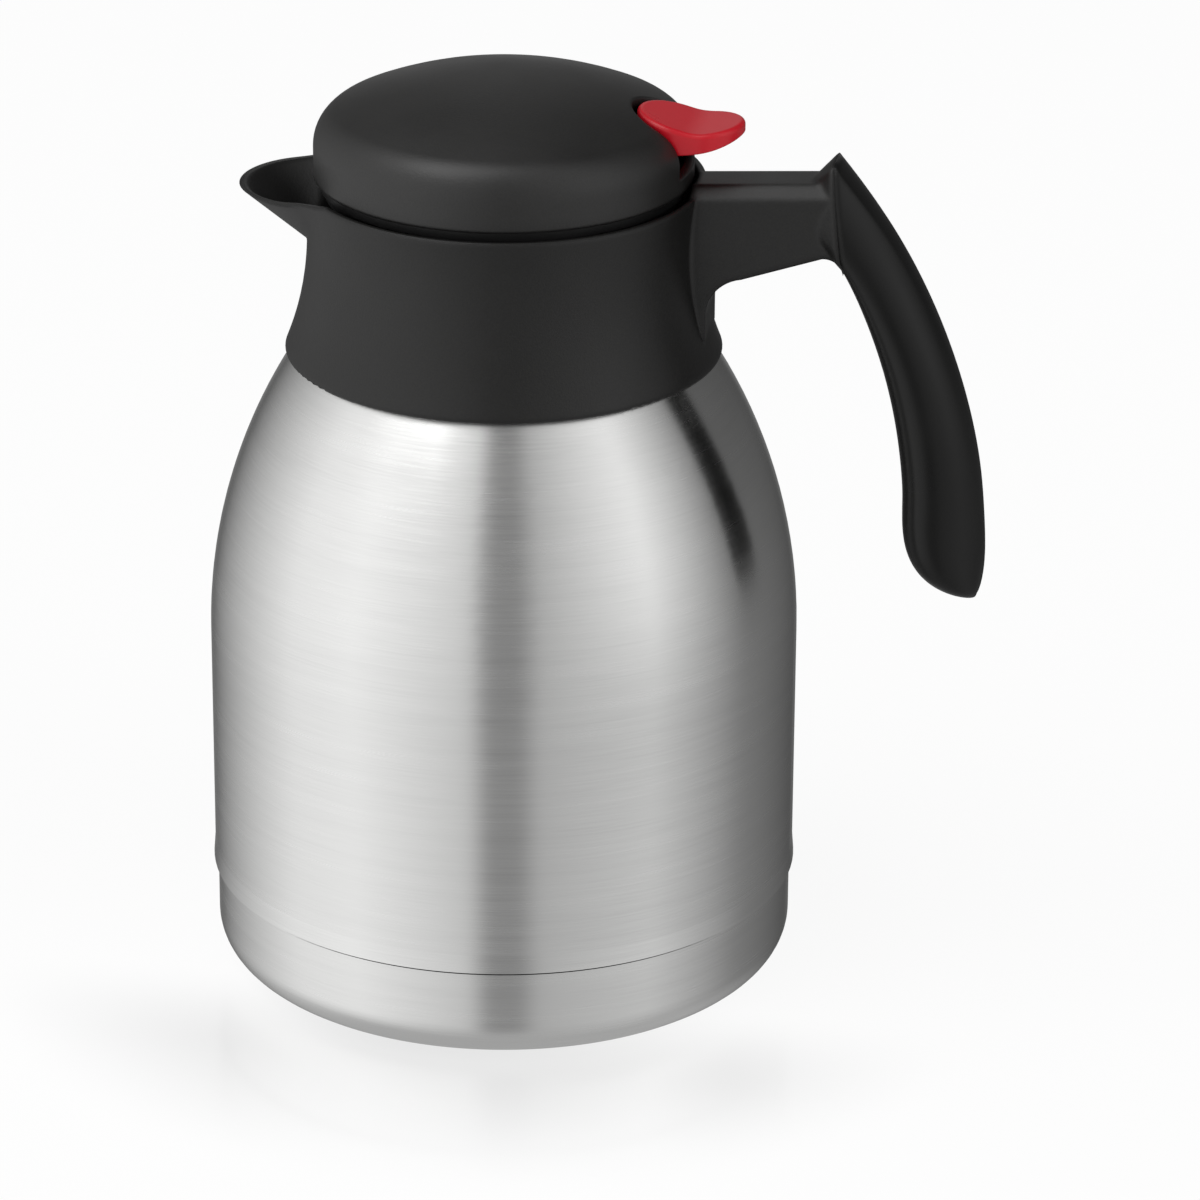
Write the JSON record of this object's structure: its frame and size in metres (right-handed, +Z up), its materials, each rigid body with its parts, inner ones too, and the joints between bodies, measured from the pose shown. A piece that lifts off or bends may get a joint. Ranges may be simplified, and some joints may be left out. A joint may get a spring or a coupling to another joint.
{
  "type": "thermal carafe",
  "caption": "Stainless steel vacuum jug with a black collar and spout, a side grip free at its lower end, a domed twist-out stopper and a hinged red thumb lever that opens its valve.",
  "frame": {"origin": "centre of the flat foot, on the axis of the vessel", "axes": "+Z up along the vessel's axis, +X towards the handle, -X towards the spout; XZ is the mirror plane"},
  "size_m": [0.1869, 0.1422, 0.2225],
  "materials": {
    "brushed_steel": "stainless steel, brushed round the body",
    "flask_steel": "plain stainless sheet",
    "black_plastic": "fine-grained satin polypropylene",
    "grip_plastic": "smooth satin polypropylene",
    "red_plastic": "smooth glossy red",
    "stopper_plastic": "smooth moulded polypropylene",
    "seal_rubber": "pale silicone rubber",
    "bright_steel": "bright stainless"
  },
  "bodies": {
    "vessel": {"outer_shell": "brushed_steel", "inner_flask": "flask_steel", "shell_bottom": "flask_steel", "getter_capsule": "flask_steel", "base_cup": "brushed_steel", "collar": "black_plastic", "neck_ring": "stopper_plastic", "neck_seal": "seal_rubber", "grip": "grip_plastic", "grip_screws": "bright_steel"},
    "seal_ring": {"stopper_seal": "seal_rubber"},
    "stopper": {"stopper_body": "stopper_plastic", "stopper_deck": "stopper_plastic", "deck_seal": "seal_rubber", "stem_seal": "seal_rubber", "lid_cover": "black_plastic", "lid_screws": "bright_steel", "lever_pin": "bright_steel", "valve_spring": "bright_steel"},
    "thumb_lever": {"lever": "red_plastic"},
    "valve": {"valve_stem": "stopper_plastic", "valve_plug": "stopper_plastic", "valve_seal": "seal_rubber"}
  },
  "joints": [
    {"name": "stopper_lift", "type": "slide", "parent": "vessel", "child": "seal_ring", "axis": [0, 0, 1], "range_m": [0, 0.075]},
    {"name": "stopper_turn", "type": "hinge", "parent": "seal_ring", "child": "stopper", "pos_m": [0, 0, 0.184], "axis": [0, 0, 1], "range_deg": [0, 90]},
    {"name": "lever_press", "type": "hinge", "parent": "stopper", "child": "thumb_lever", "pos_m": [0.036, 0, 0.204], "axis": [0, 1, 0], "range_deg": [0, 10], "stiffness_Nm_per_rad": 0.1, "springref_deg": -11.46},
    {"name": "valve_lift", "type": "slide", "parent": "stopper", "child": "valve", "axis": [0, 0, 1], "range_m": [0, 0.00628], "deforming": ["valve_spring"]}
  ],
  "couplings": [
    {"joint": "lever_press", "follows": "valve_lift", "rad_per_m": 27.778}
  ]
}
